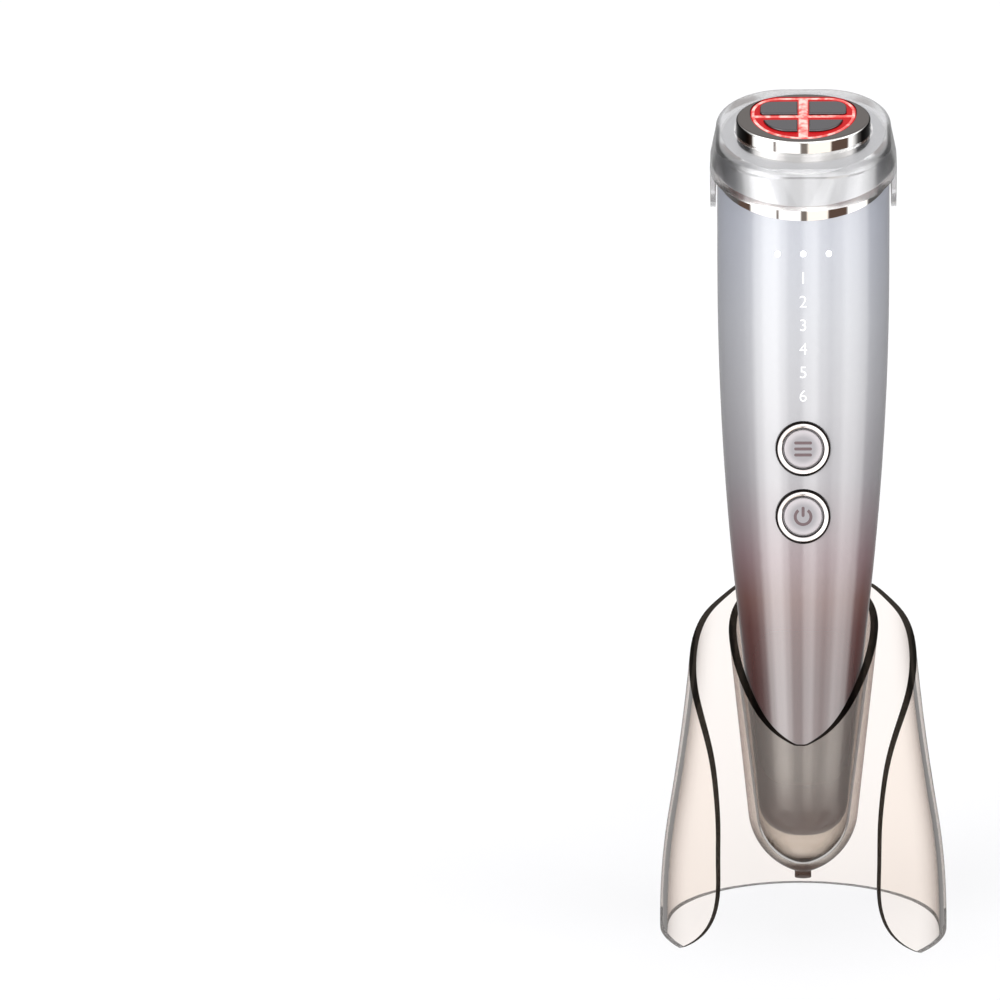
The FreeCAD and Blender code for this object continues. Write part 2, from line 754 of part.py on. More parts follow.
def pad_ring():
    """Clear ring that clamps a cotton pad over the head, with two lift tabs at its sides."""
    body = new_node("pad_ring", head_frame)
    gap = size.pad_ring_gap
    bottom = size.neck_ring_height + gap
    crown_corner = PAD_CROWN_CORNER_SHARE * size.barrel_radius
    crown = rounded_box(sketch_on(body, "XY_Plane", bottom), crown_half_width, crown_half_depth, crown_corner)
    pad(body, crown, flange_top - bottom)
    round_edges(body, flange_top, size.pad_ring_round)
    reach = size.pad_ring_foot_reach
    foot = rounded_box(sketch_on(body, "XY_Plane", bottom), head_half_width + reach, head_half_depth + reach,
                       PAD_FOOT_CORNER_SHARE * size.barrel_radius)
    waist = rounded_box(sketch_on(body, "XY_Plane", flange_top - size.pad_ring_round),
                        crown_half_width - size.bond_gap, crown_half_depth - size.bond_gap, crown_corner)
    feature(body, "AdditiveLoft", foot, Sections=[waist])
    neck_clear = head_half_width + 2 * gap
    tabs = outline(
        sketch_on(body, "YZ_Plane"), (0, bottom - size.tab_drop),
        line(size.tab_width / 2 - size.tab_round, bottom - size.tab_drop),
        arc(size.tab_width / 2, bottom - size.tab_drop + size.tab_round),
        line(size.tab_width / 2, bottom),
        line(-size.tab_width / 2, bottom),
        line(-size.tab_width / 2, bottom - size.tab_drop + size.tab_round),
        arc(size.tab_round - size.tab_width / 2, bottom - size.tab_drop),
    )
    pad(body, tabs, 2 * (neck_clear + size.tab_wall), SideType="Symmetric")
    bore_inset = size.shell_inset - gap
    bore = ellipse(sketch_on(body, "XY_Plane", bottom),
                   head_half_width - bore_inset, head_half_depth - bore_inset)
    roof = ellipse(sketch_on(body, "XY_Plane", shell_top + gap),
                   crown_half_width - size.pad_ring_wall, crown_half_depth - size.pad_ring_wall)
    feature(body, "SubtractiveLoft", bore, Sections=[roof])
    neck = ellipse(sketch_on(body, "XY_Plane", bottom), neck_clear, head_half_depth + 2 * gap)
    pocket(body, neck, size.tab_drop + size.overrun)
    opening = ellipse(sketch_on(body, "XY_Plane"), face_half_width + size.pad_ring_face_gap,
                      face_half_depth + size.pad_ring_face_gap)
    cut_through(body, opening)


def button_bezel(label, height):
    """Bright ring let into the barrel around a button; its lip keeps the cap in."""
    body = new_node(label, button_frame(height))
    outer = size.button_bezel_radius
    inner = size.button_cap_radius + size.pad_ring_gap
    top = size.button_bezel_rise
    lip = top - size.button_bezel_lip
    counterbore = inner + size.button_flange_width
    corner = size.button_bezel_round
    section = outline(
        sketch_on(body, "XZ_Plane"), (counterbore, -size.button_recess),
        line(outer, -size.button_recess),
        line(outer, top - corner), arc(outer - corner, top),
        line(inner + corner, top), arc(inner, top - corner),
        line(inner, lip),
        line(counterbore, lip),
    )
    revolve(body, section)


def button_cap(label, height):
    """Round cap with a flange under the bezel's lip and a stem that reaches into its switch."""
    body = new_node(label, button_frame(height))
    lip = size.button_bezel_rise - size.button_bezel_lip
    flange_top_level = lip - size.button_play
    flange_bottom = flange_top_level - size.button_flange_thickness
    flange_radius = size.button_cap_radius + size.button_flange_width
    switch_face = board_front + size.switch_height
    stem_end = switch_face - bow_radius_at(height) - size.stem_reach
    corner = size.button_cap_round
    section = outline(
        sketch_on(body, "XZ_Plane"), (0, stem_end),
        line(size.button_stem_radius, stem_end),
        line(size.button_stem_radius, flange_bottom),
        line(flange_radius, flange_bottom),
        line(flange_radius, flange_top_level),
        line(size.button_cap_radius, flange_top_level),
        line(size.button_cap_radius, size.button_cap_rise - corner),
        arc(size.button_cap_radius - corner, size.button_cap_rise),
        line(0, size.button_cap_rise),
    )
    revolve(body, section)


def switch(label, height):
    """Push switch on the main board, with a round well for the button's stem."""
    body = new_node(label, handset_frame)
    face = board_front + size.switch_height
    stem_run = bow_radius_at(height) - face + size.stem_reach / 2
    centre = height + stem_run * sine(bow_slope_at(height))
    block = sketch_on(body, "XZ_Plane", board_front, centre)
    rounded_box(block, size.switch_size / 2, size.switch_size / 2, size.button_cap_round)
    pad(body, block, size.switch_height)
    well = sketch_on(body, "XZ_Plane", face, centre)
    circle(well, size.button_stem_radius + size.button_travel)
    pocket(body, well, size.switch_well)


def level_lights():
    """Three round light pipes that end flush in the barrel's front."""
    for name, across in light_places.items():
        pipe = doc.addObject("Part::Cylinder", f"level_light_{name}")
        surface = root(size.barrel_radius * size.barrel_radius - across * across)
        bind(pipe, "Radius", size.light_radius)
        bind(pipe, "Height", size.light_length)
        frame = handset_frame.inner(size.light_length - surface, light_height, as_dim(RIGHT_ANGLE))
        place(pipe, frame)
        if name != "middle":
            bind(pipe, "Placement.Base.x", across)
        nodes.append(pipe)


def half_chord(radius, depth):
    """Half width of the bore where a flat piece lies off its axis."""
    return root(radius * radius - depth * depth)


def bore_half_chord(outside_radius):
    """Half width left for the frame in the bore, clear of the wall."""
    return half_chord(outside_radius - size.barrel_wall, board_back) - size.pad_ring_gap


def inner_frame():
    """Flat chassis that fits the bore edge to edge, with two cradles for the cell on its back."""
    body = new_node("inner_frame", handset_frame)
    low = bore_half_chord(taper_radius_at(frame_bottom))
    middle = bore_half_chord(grip_radius)
    high = bore_half_chord(size.barrel_radius)
    plate = outline(
        sketch_on(body, "XZ_Plane", board_back - size.frame_thickness), (-low, frame_bottom),
        line(low, frame_bottom), line(middle, taper_height), line(high, bow_top),
        line(high, frame_top), line(-high, frame_top), line(-high, bow_top),
        line(-middle, taper_height),
    )
    pad(body, plate, size.frame_thickness)
    back = board_back - size.frame_thickness
    half = size.battery_radius + size.frame_thickness
    spread = battery_length - 4 * size.cradle_thickness
    for step in (0, 1):
        level = battery_bottom + size.cradle_thickness + step * spread
        cradle = outline(
            sketch_on(body, "XY_Plane", level), (-half, -back),
            line(half, -back), line(half, size.cradle_depth - back), line(-half, size.cradle_depth - back),
        )
        pad(body, cradle, size.cradle_thickness)
    cell = circle(sketch_on(body, "XY_Plane", battery_bottom), size.battery_radius + size.fit_gap)
    pocket(body, cell, battery_length, Reversed=True)


def main_board():
    """Main circuit board on the front of the chassis."""
    body = new_node("main_board", handset_frame)
    bottom = BOARD_BOTTOM_SHARE * size.head_height
    top = BOARD_TOP_SHARE * size.head_height
    low = half_chord(taper_radius_at(bottom) - size.barrel_wall, board_front) - size.board_margin
    high = half_chord(size.barrel_radius - size.barrel_wall, board_front) - size.board_margin
    plate = outline(
        sketch_on(body, "XZ_Plane", board_back), (-low, bottom),
        line(low, bottom), line(high, bow_top), line(high, top), line(-high, top), line(-high, bow_top),
    )
    pad(body, plate, size.board_thickness)


def battery_cell():
    """Round cell on the handset's axis."""
    cell = doc.addObject("Part::Cylinder", "battery_cell")
    bind(cell, "Radius", size.battery_radius)
    bind(cell, "Height", battery_length)
    place(cell, handset_frame.inner(as_dim(0), battery_bottom, as_dim(0)))
    nodes.append(cell)


def charging_socket():
    """Charging socket let into the barrel's end: a thin shell with its tongue."""
    body = new_node("charging_socket", handset_frame)
    shell = sketch_on(body, "XY_Plane", size.socket_recess)
    corner = size.socket_half_depth - size.socket_wall
    rounded_box(shell, size.socket_half_width, size.socket_half_depth, corner)
    pad(body, shell, size.socket_height)
    hollow = sketch_on(body, "XY_Plane", size.socket_recess)
    rounded_box(hollow, size.socket_half_width - size.socket_wall, corner, corner - size.socket_wall)
    pocket(body, hollow, size.socket_height - size.board_thickness, Reversed=True)
    tongue = sketch_on(body, "XY_Plane", 2 * size.socket_recess)
    rounded_box(tongue, size.tongue_half_width, size.tongue_half_depth, size.tongue_half_depth / 2)
    pad(body, tongue, size.socket_height - size.socket_recess)


def socket_board():
    """Small board that stands on the barrel's floor behind the charging socket."""
    body = new_node("socket_board", handset_frame)
    low = size.barrel_floor
    high = low + size.socket_board_height
    back = size.socket_half_depth + size.board_thickness
    half = half_chord(taper_radius_at(low) - size.barrel_wall, back) - size.board_margin
    plate = outline(
        sketch_on(body, "XZ_Plane", -back), (-half, low),
        line(half, low), line(half, high), line(-half, high),
    )
    pad(body, plate, size.board_thickness)


stand_skirt()
stand_cup()
barrel()
neck_ring()
head_shell()
face_bezel()
light_guide()
electrodes()
led_board()
pad_ring()
for button, button_height in button_heights.items():
    button_bezel(f"{button}_bezel", button_height)
    button_cap(f"{button}_button", button_height)
    switch(f"{button}_switch", button_height)
level_lights()
inner_frame()
main_board()
battery_cell()
charging_socket()
socket_board()
doc.recompute()

# Every object is sound before anything is written
for item in doc.Objects:
    if {"Invalid", "Error"} & set(item.State):
        raise RuntimeError(f"{item.Label} failed: {item.State}")
for node in nodes:
    if node.Shape.isNull() or not node.Shape.isValid():
        raise RuntimeError(f"{node.Label} has no valid shape")
os.makedirs("parts", exist_ok=True)
for node in nodes:
    node.Shape.exportStep(f"parts/{node.Label}.step")
    print(node.Label, round(node.Shape.Volume, 1), "mm3,", len(node.Shape.Solids), "solid")
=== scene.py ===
import math

import bmesh
import bpy
from mathutils import Matrix, Vector


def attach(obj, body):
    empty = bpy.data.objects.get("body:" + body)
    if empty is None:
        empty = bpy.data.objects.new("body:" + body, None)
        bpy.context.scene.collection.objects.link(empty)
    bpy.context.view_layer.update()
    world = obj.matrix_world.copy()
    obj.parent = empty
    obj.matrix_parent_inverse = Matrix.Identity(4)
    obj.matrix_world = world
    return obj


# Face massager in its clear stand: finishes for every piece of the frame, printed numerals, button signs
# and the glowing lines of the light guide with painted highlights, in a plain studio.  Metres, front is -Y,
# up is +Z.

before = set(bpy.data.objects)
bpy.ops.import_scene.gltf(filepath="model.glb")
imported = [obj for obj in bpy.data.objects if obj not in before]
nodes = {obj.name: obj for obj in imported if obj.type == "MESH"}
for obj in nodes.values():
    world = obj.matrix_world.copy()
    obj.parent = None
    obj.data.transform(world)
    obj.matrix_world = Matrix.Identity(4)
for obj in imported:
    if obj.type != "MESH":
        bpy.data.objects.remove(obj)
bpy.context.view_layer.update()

MM = 0.001
WHITE = (1, 1, 1)
FLAT = (1, 1, 0)  # takes the height out of a vector

# Places of the frame
STAND_FORWARD = 6.17 * MM
LEAN = math.radians(7)
HANDSET_PLACE = Vector((0, -7.07 * MM, 24.9 * MM))
HEAD_HEIGHT = 167.9 * MM
HEAD_TILT = math.radians(28)
BARREL_RADIUS = 21.6 * MM
END_RADIUS = 0.4815 * BARREL_RADIUS
GRIP_RADIUS = 0.7963 * BARREL_RADIUS
TAPER_HEIGHT = 0.3752 * HEAD_HEIGHT
MODE_HEIGHT = 0.5956 * HEAD_HEIGHT
POWER_HEIGHT = 0.4943 * HEAD_HEIGHT
CAP_RISE = 0.3 * MM

stand_place = Matrix.Translation((0, -STAND_FORWARD, 0))
handset_place = Matrix.Translation(HANDSET_PLACE) @ Matrix.Rotation(-LEAN, 4, "X")
head_place = handset_place @ Matrix.Translation((0, 0, HEAD_HEIGHT)) @ Matrix.Rotation(HEAD_TILT, 4, "X")

# The barrel's bow: an arc that carries on from the straight taper up to the full radius
taper = (GRIP_RADIUS - END_RADIUS) / TAPER_HEIGHT
steepness = math.sqrt(1 + taper * taper)
bow_run = (BARREL_RADIUS - GRIP_RADIUS) / taper
bow_top = TAPER_HEIGHT + bow_run + bow_run * steepness
bow_radius = (bow_top - TAPER_HEIGHT) * steepness / taper


def barrel_radius_at(height):
    """Outside radius of the barrel's bow at one height of the handset."""
    drop = max(bow_top - height, 0)
    return BARREL_RADIUS - bow_radius + math.sqrt(bow_radius * bow_radius - drop * drop)


def button_place(height):
    """Frame on the barrel under a button: +Z straight out of the barrel's front, +Y up along it."""
    slope = math.asin((bow_top - height) / bow_radius)
    surface = Matrix.Translation((0, -barrel_radius_at(height), height))
    return handset_place @ surface @ Matrix.Rotation(math.pi / 2 + slope, 4, "X")


# Shader nodes

def rgba(shade):
    """A colour, or one level of grey, with full alpha."""
    return (*(shade if isinstance(shade, tuple) else (shade,) * 3), 1)


class Graph:
    """Short ways to add nodes to a shader tree."""

    def __init__(self, tree):
        self.tree = tree

    def add(self, kind, **settings):
        node = self.tree.nodes.new(kind)
        for name, setting in settings.items():
            setattr(node, name, setting)
        return node

    def link(self, source, target):
        self.tree.links.new(source, target)

    def split(self, vector):
        node = self.add("ShaderNodeSeparateXYZ")
        self.link(vector, node.inputs[0])
        return node.outputs

    def vector(self, operation, first, second=None):
        node = self.add("ShaderNodeVectorMath", operation=operation)
        for socket, item in zip(node.inputs, (first, second)):
            if item is None:
                continue
            if isinstance(item, tuple):
                socket.default_value = item
            else:
                self.link(item, socket)
        return node.outputs["Value" if operation in ("DOT_PRODUCT", "LENGTH") else "Vector"]

    def math(self, operation, first, second=0.0):
        node = self.add("ShaderNodeMath", operation=operation)
        for socket, item in zip(node.inputs, (first, second)):
            if isinstance(item, (int, float)):
                socket.default_value = item
            else:
                self.link(item, socket)
        return node.outputs[0]

    def span(self, value, low, high, start=0.0, end=1.0):
        """Smooth step of a value from one level to another."""
        node = self.add("ShaderNodeMapRange", interpolation_type="SMOOTHSTEP")
        self.link(value, node.inputs["Value"])
        for socket, level in zip(("From Min", "From Max", "To Min", "To Max"), (low, high, start, end)):
            node.inputs[socket].default_value = level
        return node.outputs["Result"]

    def ramp(self, value, stops, interpolation="LINEAR"):
        """Colour along a value, by (place, shade) stops."""
        node = self.add("ShaderNodeValToRGB")
        node.color_ramp.interpolation = interpolation
        elements = node.color_ramp.elements
        while len(elements) < len(stops):
            elements.new(0.5)
        for element, (where, shade) in zip(elements, stops):
            element.position = where
            element.color = rgba(shade)
        self.link(value, node.inputs["Fac"])
        return node.outputs["Color"]

    def mix(self, factor, first, second, blend="MIX"):
        node = self.add("ShaderNodeMix", data_type="RGBA", blend_type=blend)
        sockets = node.inputs["Factor"], node.inputs[6], node.inputs[7]
        for socket, item in zip(sockets, (factor, first, second)):
            if isinstance(item, tuple):
                socket.default_value = rgba(item)
            else:
                self.link(item, socket)
        return node.outputs[2]

    def noise(self, vector, scale, detail=2.0, stretch=None):
        node = self.add("ShaderNodeTexNoise")
        node.inputs["Scale"].default_value = scale
        node.inputs["Detail"].default_value = detail
        if stretch:
            vector = self.vector("MULTIPLY", vector, stretch)
        self.link(vector, node.inputs["Vector"])
        return node.outputs["Fac"]


class Finish(Graph):
    """A node material around one Principled shader."""

    EDGE_BLEND = 0.42

    def __init__(self, name, **constants):
        self.material = bpy.data.materials.new(name)
        self.material.use_nodes = True
        super().__init__(self.material.node_tree)
        self.shader = self.tree.nodes["Principled BSDF"]
        for socket, setting in constants.items():
            value = rgba(setting) if isinstance(setting, tuple) else setting
            self.shader.inputs[socket.replace("_", " ")].default_value = value

    def give(self, source, socket):
        """Send one output to a socket of the shader."""
        self.link(source, self.shader.inputs[socket])

    def place(self, matrix=None):
        """Object coordinates, in a local frame where one is given."""
        coordinates = self.add("ShaderNodeTexCoord").outputs["Object"]
        if matrix is None:
            return coordinates
        mapping = self.add("ShaderNodeMapping", vector_type="TEXTURE")
        mapping.inputs["Location"].default_value = matrix.to_translation()
        mapping.inputs["Rotation"].default_value = matrix.to_euler()
        self.link(coordinates, mapping.inputs["Vector"])
        return mapping.outputs["Vector"]

    def facing(self, matrix):
        """Object-space normal, in the turn of a local frame."""
        mapping = self.add("ShaderNodeMapping", vector_type="TEXTURE")
        mapping.inputs["Rotation"].default_value = matrix.to_euler()
        self.link(self.add("ShaderNodeTexCoord").outputs["Normal"], mapping.inputs["Vector"])
        return mapping.outputs["Vector"]

    def edge_on(self, low, high):
        """0 where clear plastic is seen face on, 1 where it is seen edge on."""
        weight = self.add("ShaderNodeLayerWeight")
        weight.inputs["Blend"].default_value = self.EDGE_BLEND
        return self.span(weight.outputs["Facing"], low, high)

    def reach(self, place):
        """Distance from the local frame's Z axis."""
        return self.vector("LENGTH", self.vector("MULTIPLY", place, FLAT))

    def bump(self, height, distance, strength):
        node = self.add("ShaderNodeBump")
        node.inputs["Strength"].default_value = strength
        node.inputs["Distance"].default_value = distance
        self.link(height, node.inputs["Height"])
        self.give(node.outputs["Normal"], "Normal")


# Finishes

# Painted shade for the stand's cut rims: a near-black colour, with the rims' roughness and fade
RIM_PAINTED_SHADE = (0.0016, 0.0012, 0.0009)
RIM_ROUGHNESS = 0.42
RIM_FADE = 4 * MM
STREAK_SHADE = 0.97


def smoked_acrylic(name, matrix, bend, face_tint, edge_tint, edge_reach, rim_from, nose=None):
    """Clear acrylic with a warm tint: pale face on, brown edge on, and dark at the cut rims above one height,
    where the dark is painted shade.

    A nose, at the lower end of the local frame, has tints of its own for face, edge and tip, and says how
    clear the walls above it are.
    """
    look = Finish(name, IOR=bend, Transmission_Weight=1)
    place = look.place(matrix)
    height = look.split(place)[2]
    face, edge = face_tint, edge_tint
    if nose:
        look.give(look.span(height, -2 * MM, 2 * MM, 1, nose["clear_above"]), "Transmission Weight")
        face = look.mix(look.span(height, -4 * MM, -1 * MM), nose["face"], face)
        edge = look.mix(look.span(height, -3 * MM, 6 * MM), nose["edge"], edge)
    streak = look.noise(place, 90, 2.0, (1, 1, 0.25))
    face = look.mix(streak, face, tuple(STREAK_SHADE * part for part in face_tint))
    body = look.mix(look.edge_on(*edge_reach), face, edge)
    if nose:
        body = look.mix(look.span(height, -8.5 * MM, -6.5 * MM), nose["tip"], body)
    # a wall's normal points along the radius, a cut rim's normal doesn't
    radial = look.vector("NORMALIZE", look.vector("MULTIPLY", place, FLAT))
    along = look.math("ABSOLUTE", look.vector("DOT_PRODUCT", radial, look.facing(matrix)))
    # painted shade: the cut rims above rim_from get a near-black colour
    cut = look.span(along, 0.72, 0.94, 1, 0)
    rim = look.math("MULTIPLY", cut, look.span(height, rim_from, rim_from + RIM_FADE))
    look.give(look.mix(rim, body, RIM_PAINTED_SHADE), "Base Color")
    look.give(look.span(rim, 0, 1, 0, RIM_ROUGHNESS), "Roughness")
    return look.material


def lacquer():
    """Glossy lacquer that fades from silver at the head to dark red at the lower end."""
    look = Finish("lacquer", Roughness=0.42, Specular_IOR_Level=0.3, Coat_Roughness=0.05, Coat_IOR=2.4)
    place = look.place(handset_place)
    height = look.math("DIVIDE", look.split(place)[2], HEAD_HEIGHT)
    look.give(look.span(height, 0.015, 0.12, 0.1, 1), "Coat Weight")
    fade = look.ramp(height, (
        (0.0, (0.060, 0.009, 0.007)),
        (0.24, (0.062, 0.010, 0.008)),
        (0.32, (0.090, 0.022, 0.018)),
        (0.365, (0.130, 0.050, 0.042)),
        (0.43, (0.200, 0.125, 0.135)),
        (0.55, (0.290, 0.275, 0.290)),
        (0.66, (0.360, 0.355, 0.375)),
        (0.78, (0.395, 0.400, 0.430)),
        (0.94, (0.390, 0.405, 0.460)),
    ))
    flake = look.math("MULTIPLY", look.noise(place, 700, 1.0), 0.05)
    look.give(look.mix(flake, fade, WHITE, "SOFT_LIGHT"), "Base Color")
    return look.material


def polished_chrome():
    """Bright plated metal with faint wipe marks."""
    look = Finish("chrome", Metallic=1, Base_Color=(0.93, 0.91, 0.89))
    haze = look.noise(look.place(), 260, 3.0)
    look.give(look.span(haze, 0.35, 0.75, 0.03, 0.065), "Roughness")
    return look.material


def satin_silver():
    """Silver paint of the head's cap, with a fine grain."""
    look = Finish("satin_silver", Metallic=0.5, Base_Color=(0.48, 0.48, 0.495))
    grain = look.noise(look.place(head_place), 2400)
    look.give(look.span(grain, 0.3, 0.7, 0.28, 0.36), "Roughness")
    return look.material


def dark_mirror():
    """Gunmetal mirror on the face, bright plating on its side wall, and painted shade, black, at the wall's
    two sides.
    """
    look = Finish("dark_mirror", Metallic=1)
    haze = look.noise(look.place(head_place), 420, 3.0)
    look.give(look.span(haze, 0.35, 0.75, 0.04, 0.085), "Roughness")
    across, _, up = look.split(look.facing(head_place))
    # painted shade: the side wall is painted near black where it turns to either side
    side = look.span(look.math("ABSOLUTE", across), 0.58, 0.74)
    wall = look.mix(side, (0.92, 0.90, 0.88), (0.030, 0.026, 0.024))
    look.give(look.mix(look.span(up, 0.55, 0.9), wall, (0.112, 0.10, 0.092)), "Base Color")
    return look.material


def red_guide():
    """Red light guide, lit from below: brightest along its middle."""
    look = Finish("red_guide", Base_Color=(0.24, 0.002, 0.003), Roughness=0.32,
                  Specular_IOR_Level=0.08, Emission_Strength=0.5)
    place = look.place(head_place)
    off_middle = look.math("ABSOLUTE", look.split(place)[0])
    middle = look.span(off_middle, 0.6 * MM, 1.8 * MM, 1, 0)
    cloud = look.mix(look.noise(place, 160), (0.50, 0.003, 0.006), (0.86, 0.010, 0.016))
    look.give(look.mix(middle, cloud, (1.0, 0.10, 0.09)), "Emission Color")
    return look.material


def lit_rail():
    """Raised line of the light guide, glowing from red to pink white: the red is the guide's glow, the
    pink-white patches are painted highlights.
    """
    look = Finish("lit_rail", Base_Color=(0.45, 0.10, 0.09), Roughness=0.2, Emission_Strength=0.75)
    # painted highlight: pink-white patches of emission stand for glints on the rail, between patches of red
    # glow
    glow = look.ramp(look.noise(look.place(head_place), 420), (
        (0.40, (0.80, 0.02, 0.02)),
        (0.50, (1.0, 0.42, 0.37)),
        (0.60, (1.0, 0.82, 0.75)),
    ))
    look.give(glow, "Emission Color")
    return look.material


def dark_steel():
    """Dark satin electrode plate with a fine grain across it."""
    look = Finish("dark_steel", Metallic=1)
    grain = look.noise(look.place(head_place), 900, 2.0, (1, 14, 1))
    look.give(look.mix(grain, (0.102, 0.100, 0.108), (0.122, 0.115, 0.115)), "Base Color")
    look.give(look.span(grain, 0.3, 0.7, 0.2, 0.26), "Roughness")
    return look.material


def clear_plastic():
    """Clear ring, with painted shade: greyer on its top faces and where it is seen edge on."""
    look = Finish("clear_plastic", Transmission_Weight=1, IOR=1.28,
                  Coat_Weight=1, Coat_IOR=2.6, Coat_Roughness=0.02)
    up = look.split(look.facing(head_place))[2]
    # painted shade: top faces and edge-on views are painted greyer
    face = look.mix(look.span(up, 0.25, 0.7), (0.74, 0.74, 0.76), (0.42, 0.42, 0.43))
    look.give(look.mix(look.edge_on(0.22, 0.75), face, (0.56, 0.56, 0.57)), "Base Color")
    haze = look.noise(look.place(head_place), 300)
    look.give(look.span(haze, 0.3, 0.75, 0.14, 0.20), "Roughness")
    return look.material


def button_satin(name, height):
    """Satin cap, paler towards its edge."""
    look = Finish(name, Metallic=0.25, Coat_Weight=0.25, Coat_Roughness=0.15)
    place = look.place(button_place(height))
    rim = look.span(look.reach(place), 2.6 * MM, 4.4 * MM)
    look.give(look.mix(rim, (0.34, 0.325, 0.34), (0.52, 0.485, 0.50)), "Base Color")
    look.give(look.span(look.noise(place, 2200), 0.3, 0.7, 0.32, 0.40), "Roughness")
    return look.material


def bezel_plating(name, height):
    """Bright plated ring, with painted dark reflections on its inner and outer edges."""
    look = Finish(name, Metallic=1)
    place = look.place(button_place(height))
    reach = look.reach(place)
    # painted reflection: near black inside and outside the bright plated band
    inner = look.span(reach, 5.2 * MM, 5.4 * MM)
    outer = look.span(reach, 6.15 * MM, 6.35 * MM, 1, 0)
    bright = look.math("MULTIPLY", inner, outer)
    look.give(look.mix(bright, (0.012, 0.009, 0.008), (0.86, 0.80, 0.78)), "Base Color")
    look.give(look.span(look.noise(place, 500), 0.35, 0.75, 0.08, 0.14), "Roughness")
    return look.material


def lit_white():
    """White indicator light."""
    look = Finish("lit_white", Base_Color=(0.95, 0.95, 0.97), Roughness=0.3, Emission_Strength=0.8)
    glow = look.noise(look.place(), 900, 1.0)
    look.give(look.mix(glow, (0.95, 0.97, 1.0), WHITE), "Emission Color")
    return look.material


def solder_mask():
    """Green board with faint copper runs under the mask."""
    look = Finish("solder_mask", Roughness=0.35, Coat_Weight=0.4, Coat_Roughness=0.15)
    runs = look.add("ShaderNodeTexBrick", offset=0.5)
    look.link(look.place(handset_place), runs.inputs["Vector"])
    runs.inputs["Scale"].default_value = 260
    runs.inputs["Mortar Size"].default_value = 0.06
    runs.inputs["Color1"].default_value = rgba((0.010, 0.09, 0.035))
    runs.inputs["Color2"].default_value = rgba((0.014, 0.11, 0.045))
    runs.inputs["Mortar"].default_value = rgba((0.03, 0.19, 0.08))
    look.give(runs.outputs["Color"], "Base Color")
    return look.material


def moulded(name, tint, dark, roughness):
    """Plain moulded plastic with a fine spark texture."""
    look = Finish(name, Roughness=roughness)
    grain = look.noise(look.place(), 2600, 3.0)
    look.give(look.mix(grain, dark, tint), "Base Color")
    look.bump(grain, 0.01 * MM, 0.5)
    return look.material


def brushed_steel():
    """Plated shell of the socket, brushed lengthwise."""
    look = Finish("brushed_steel", Metallic=1, Base_Color=(0.68, 0.68, 0.69))
    grain = look.noise(look.place(handset_place), 1200, 2.0, (14, 1, 1))
    look.give(look.span(grain, 0.3, 0.7, 0.18, 0.34), "Roughness")
    return look.material


def ink(name, tint):
    """Flat printed ink, a little uneven."""
    look = Finish(name, Roughness=0.5)
    patch = look.noise(look.place(), 1500)
    look.give(look.mix(patch, tuple(0.9 * part for part in tint), tint), "Base Color")
    return look.material


chrome = polished_chrome()
electrode_look = dark_steel()
board_look = solder_mask()
white_light = lit_white()
black_plastic = moulded("black_plastic", (0.03, 0.03, 0.03), (0.018, 0.018, 0.018), 0.45)
NODE_FINISHES = {
    "stand_skirt": smoked_acrylic(
        "smoked_skirt", stand_place, bend=1.03, face_tint=(1.0, 0.948, 0.905), edge_tint=(0.45, 0.395, 0.365),
        edge_reach=(0.36, 0.93), rim_from=-4 * MM),
    "stand_cup": smoked_acrylic(
        "smoked_cup", handset_place, bend=1.05, face_tint=(0.73, 0.675, 0.62), edge_tint=(0.44, 0.365, 0.335),
        edge_reach=(0.12, 0.80), rim_from=14 * MM,
        nose={"face": (1.0, 0.965, 0.925), "edge": (0.05, 0.036, 0.03), "tip": (0.08, 0.055, 0.045),
              "clear_above": 0.90}),
    "barrel": lacquer(),
    "neck_ring": chrome,
    "head_shell": satin_silver(),
    "face_bezel": dark_mirror(),
    "light_guide": red_guide(),
    "electrode_rear_left": electrode_look,
    "electrode_rear_right": electrode_look,
    "electrode_front_left": electrode_look,
    "electrode_front_right": electrode_look,
    "led_board": board_look,
    "pad_ring": clear_plastic(),
    "mode_bezel": bezel_plating("mode_ring", MODE_HEIGHT),
    "power_bezel": bezel_plating("power_ring", POWER_HEIGHT),
    "mode_button": button_satin("mode_cap", MODE_HEIGHT),
    "power_button": button_satin("power_cap", POWER_HEIGHT),
    "mode_switch": black_plastic,
    "power_switch": black_plastic,
    "level_light_left": white_light,
    "level_light_middle": white_light,
    "level_light_right": white_light,
    "inner_frame": moulded("ivory_plastic", (0.72, 0.71, 0.67), (0.66, 0.65, 0.61), 0.5),
    "main_board": board_look,
    "battery_cell": moulded("blue_sleeve", (0.05, 0.16, 0.42), (0.04, 0.13, 0.36), 0.3),
    "charging_socket": brushed_steel(),
    "socket_board": board_look,
}
for label, look in NODE_FINISHES.items():
    mesh = nodes[label].data
    mesh.materials.clear()
    mesh.materials.append(look)

# The clear stand leaves the floor bright, and bright metal mirrors only the studio's cards
nodes["stand_skirt"].visible_shadow = False
for label in ("stand_skirt", "stand_cup"):
    nodes[label].visible_diffuse = False
for label in ("stand_skirt", "stand_cup", "pad_ring", "head_shell"):
    nodes[label].visible_glossy = False


# Printed numerals, laid on the barrel's curved front

WELD = 1e-7
NUMERALS = 6
INK_THICKNESS = 0.04 * MM
NUMERAL_HEIGHT = 2.9 * MM
FIRST_ROW = 142.4 * MM
ROW_PITCH = 5.84 * MM
white_ink = ink("white_ink", (0.93, 0.93, 0.95))


def add_piece(name, shape, look, body):
    """Turn a bmesh into a piece that rides on a body."""
    bmesh.ops.remove_doubles(shape, verts=shape.verts, dist=WELD)
    bmesh.ops.recalc_face_normals(shape, faces=shape.faces)
    mesh = bpy.data.meshes.new(name)
    shape.to_mesh(mesh)
    shape.free()
    mesh.materials.append(look)
    piece = bpy.data.objects.new(name, mesh)
    bpy.context.scene.collection.objects.link(piece)
    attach(piece, body)


